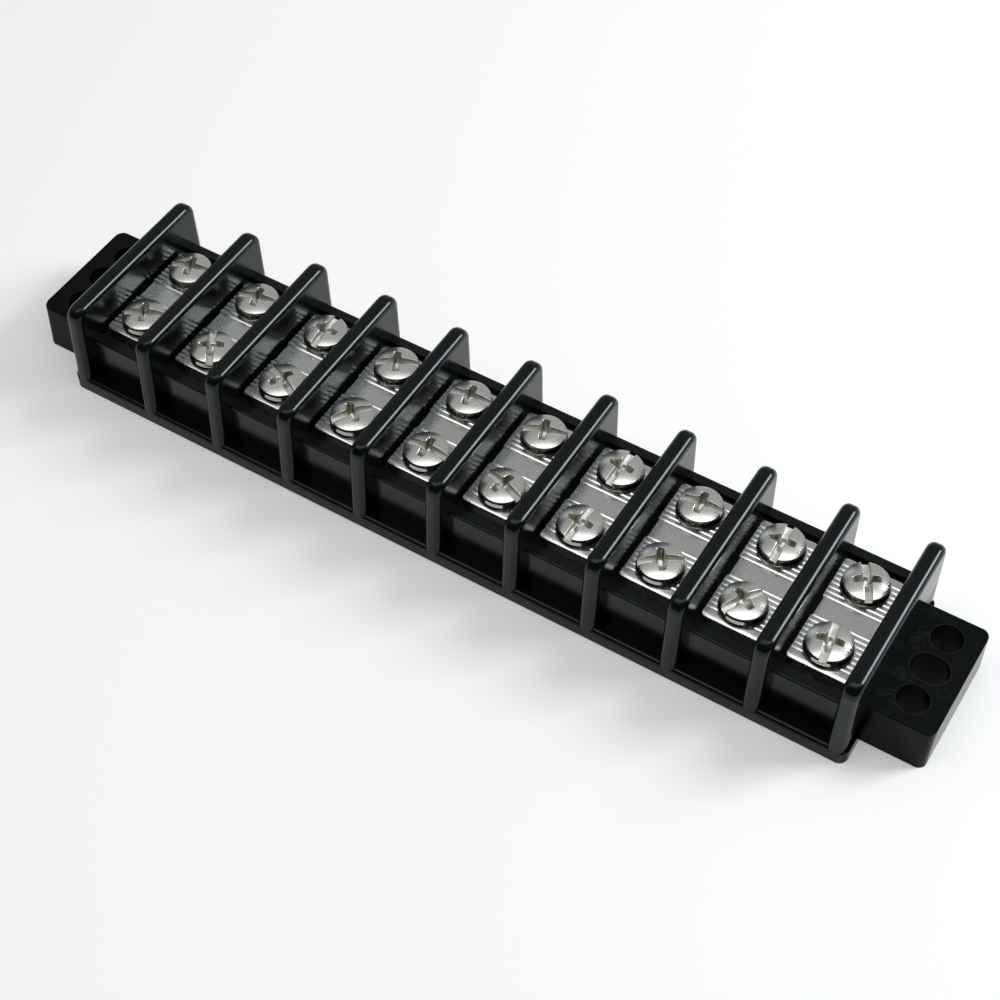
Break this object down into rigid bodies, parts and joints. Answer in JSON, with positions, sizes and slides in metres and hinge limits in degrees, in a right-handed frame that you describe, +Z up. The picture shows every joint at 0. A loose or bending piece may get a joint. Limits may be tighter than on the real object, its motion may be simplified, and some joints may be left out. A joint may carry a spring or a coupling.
{
  "type": "barrier terminal strip",
  "caption": "Double-row barrier terminal strip: black moulding with tall barriers, a flat ribbed clamp plate per pole, combination-drive screws and a drilled flange at each end.",
  "frame": {"origin": "middle of the underside, halfway along the row and halfway across it", "axes": "+X along the row to the right, +Y to the rear, +Z up out of the mounting surface, along the screws"},
  "size_m": [0.1676, 0.0338, 0.0181],
  "materials": {
    "black_moulding": "glossy black moulded phenolic, with a duller top on the end flanges",
    "nickel_plate": "bright nickel plating over pressed metal, ribbed at both ends",
    "plated_screw": "bright nickel plating on a headed screw"
  },
  "bodies": {
    "strip": {"moulded_body": "black_moulding", "clamp_plate_01": "nickel_plate", "clamp_plate_02": "nickel_plate", "clamp_plate_03": "nickel_plate", "clamp_plate_04": "nickel_plate", "clamp_plate_05": "nickel_plate", "clamp_plate_06": "nickel_plate", "clamp_plate_07": "nickel_plate", "clamp_plate_08": "nickel_plate", "clamp_plate_09": "nickel_plate", "clamp_plate_10": "nickel_plate"},
    "front_screw_01_body": {"front_screw_01": "plated_screw"},
    "front_screw_02_body": {"front_screw_02": "plated_screw"},
    "front_screw_03_body": {"front_screw_03": "plated_screw"},
    "front_screw_04_body": {"front_screw_04": "plated_screw"},
    "front_screw_05_body": {"front_screw_05": "plated_screw"},
    "front_screw_06_body": {"front_screw_06": "plated_screw"},
    "front_screw_07_body": {"front_screw_07": "plated_screw"},
    "front_screw_08_body": {"front_screw_08": "plated_screw"},
    "front_screw_09_body": {"front_screw_09": "plated_screw"},
    "front_screw_10_body": {"front_screw_10": "plated_screw"},
    "rear_screw_01_body": {"rear_screw_01": "plated_screw"},
    "rear_screw_02_body": {"rear_screw_02": "plated_screw"},
    "rear_screw_03_body": {"rear_screw_03": "plated_screw"},
    "rear_screw_04_body": {"rear_screw_04": "plated_screw"},
    "rear_screw_05_body": {"rear_screw_05": "plated_screw"},
    "rear_screw_06_body": {"rear_screw_06": "plated_screw"},
    "rear_screw_07_body": {"rear_screw_07": "plated_screw"},
    "rear_screw_08_body": {"rear_screw_08": "plated_screw"},
    "rear_screw_09_body": {"rear_screw_09": "plated_screw"},
    "rear_screw_10_body": {"rear_screw_10": "plated_screw"}
  },
  "joints": [
    {"name": "front_screw_01_back_out", "type": "slide", "parent": "strip", "child": "front_screw_01_body", "axis": [0, 0, 1], "range_m": [0, 0.004]},
    {"name": "front_screw_02_back_out", "type": "slide", "parent": "strip", "child": "front_screw_02_body", "axis": [0, 0, 1], "range_m": [0, 0.004]},
    {"name": "front_screw_03_back_out", "type": "slide", "parent": "strip", "child": "front_screw_03_body", "axis": [0, 0, 1], "range_m": [0, 0.004]},
    {"name": "front_screw_04_back_out", "type": "slide", "parent": "strip", "child": "front_screw_04_body", "axis": [0, 0, 1], "range_m": [0, 0.004]},
    {"name": "front_screw_05_back_out", "type": "slide", "parent": "strip", "child": "front_screw_05_body", "axis": [0, 0, 1], "range_m": [0, 0.004]},
    {"name": "front_screw_06_back_out", "type": "slide", "parent": "strip", "child": "front_screw_06_body", "axis": [0, 0, 1], "range_m": [0, 0.004]},
    {"name": "front_screw_07_back_out", "type": "slide", "parent": "strip", "child": "front_screw_07_body", "axis": [0, 0, 1], "range_m": [0, 0.004]},
    {"name": "front_screw_08_back_out", "type": "slide", "parent": "strip", "child": "front_screw_08_body", "axis": [0, 0, 1], "range_m": [0, 0.004]},
    {"name": "front_screw_09_back_out", "type": "slide", "parent": "strip", "child": "front_screw_09_body", "axis": [0, 0, 1], "range_m": [0, 0.004]},
    {"name": "front_screw_10_back_out", "type": "slide", "parent": "strip", "child": "front_screw_10_body", "axis": [0, 0, 1], "range_m": [0, 0.004]},
    {"name": "rear_screw_01_back_out", "type": "slide", "parent": "strip", "child": "rear_screw_01_body", "axis": [0, 0, 1], "range_m": [0, 0.004]},
    {"name": "rear_screw_02_back_out", "type": "slide", "parent": "strip", "child": "rear_screw_02_body", "axis": [0, 0, 1], "range_m": [0, 0.004]},
    {"name": "rear_screw_03_back_out", "type": "slide", "parent": "strip", "child": "rear_screw_03_body", "axis": [0, 0, 1], "range_m": [0, 0.004]},
    {"name": "rear_screw_04_back_out", "type": "slide", "parent": "strip", "child": "rear_screw_04_body", "axis": [0, 0, 1], "range_m": [0, 0.004]},
    {"name": "rear_screw_05_back_out", "type": "slide", "parent": "strip", "child": "rear_screw_05_body", "axis": [0, 0, 1], "range_m": [0, 0.004]},
    {"name": "rear_screw_06_back_out", "type": "slide", "parent": "strip", "child": "rear_screw_06_body", "axis": [0, 0, 1], "range_m": [0, 0.004]},
    {"name": "rear_screw_07_back_out", "type": "slide", "parent": "strip", "child": "rear_screw_07_body", "axis": [0, 0, 1], "range_m": [0, 0.004]},
    {"name": "rear_screw_08_back_out", "type": "slide", "parent": "strip", "child": "rear_screw_08_body", "axis": [0, 0, 1], "range_m": [0, 0.004]},
    {"name": "rear_screw_09_back_out", "type": "slide", "parent": "strip", "child": "rear_screw_09_body", "axis": [0, 0, 1], "range_m": [0, 0.004]},
    {"name": "rear_screw_10_back_out", "type": "slide", "parent": "strip", "child": "rear_screw_10_body", "axis": [0, 0, 1], "range_m": [0, 0.004]}
  ]
}
